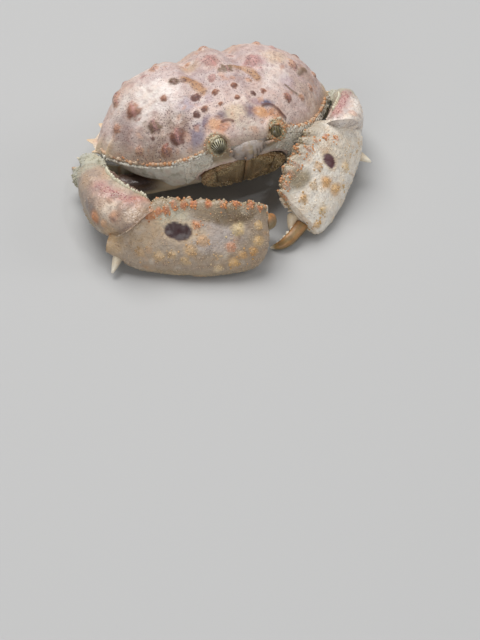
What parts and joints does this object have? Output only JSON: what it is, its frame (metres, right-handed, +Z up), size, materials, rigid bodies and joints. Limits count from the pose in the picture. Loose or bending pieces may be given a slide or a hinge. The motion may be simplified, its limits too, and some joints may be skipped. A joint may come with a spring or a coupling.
{
  "type": "box crab",
  "caption": "Still, life-size box crab model resting with domed knobbed shell, spiny rear rim and toothed claws folded before its face.",
  "frame": {"origin": "middle of the model's footprint, on the floor it rests on", "axes": "+X to the crab's left, along its longest extent; -Y the way it faces; +Z up, its shortest extent"},
  "size_m": [0.1021, 0.0962, 0.0405],
  "materials": {
    "shell": "granular, damp, lilac-pink with dark speckles and rust-brown knobs",
    "claw": "ivory and tan with yellow-orange knobs, slightly wet",
    "limb": "smooth cream with yellow tips",
    "under": "smooth ivory plates",
    "eye": "wet, dark and finely streaked",
    "mouth": "tan and olive-brown, damp"
  },
  "bodies": {
    "root": {"carapace": "shell", "sternum": "under", "abdomen": "under", "abdomen_base": "under", "eye_left": "eye", "antenna_left": "mouth", "antennule_left": "mouth", "maxilliped_left": "mouth", "claw_left_ischium": "claw", "claw_left_merus": "claw", "claw_left_carpus": "claw", "claw_left_palm": "claw", "claw_left_dactyl": "claw", "leg1_left_merus": "limb", "leg1_left_carpus": "limb", "leg1_left_propodus": "limb", "leg1_left_dactyl": "limb", "leg2_left_merus": "limb", "leg2_left_carpus": "limb", "leg2_left_propodus": "limb", "leg2_left_dactyl": "limb", "leg3_left_merus": "limb", "leg3_left_carpus": "limb", "leg3_left_propodus": "limb", "leg3_left_dactyl": "limb", "leg4_left_merus": "limb", "leg4_left_carpus": "limb", "leg4_left_propodus": "limb", "leg4_left_dactyl": "limb", "eye_right": "eye", "antenna_right": "mouth", "antennule_right": "mouth", "maxilliped_right": "mouth", "claw_right_ischium": "claw", "claw_right_merus": "claw", "claw_right_carpus": "claw", "claw_right_palm": "claw", "claw_right_dactyl": "claw", "leg1_right_merus": "limb", "leg1_right_carpus": "limb", "leg1_right_propodus": "limb", "leg1_right_dactyl": "limb", "leg2_right_merus": "limb", "leg2_right_carpus": "limb", "leg2_right_propodus": "limb", "leg2_right_dactyl": "limb", "leg3_right_merus": "limb", "leg3_right_carpus": "limb", "leg3_right_propodus": "limb", "leg3_right_dactyl": "limb", "leg4_right_merus": "limb", "leg4_right_carpus": "limb", "leg4_right_propodus": "limb", "leg4_right_dactyl": "limb"}
  },
  "joints": []
}
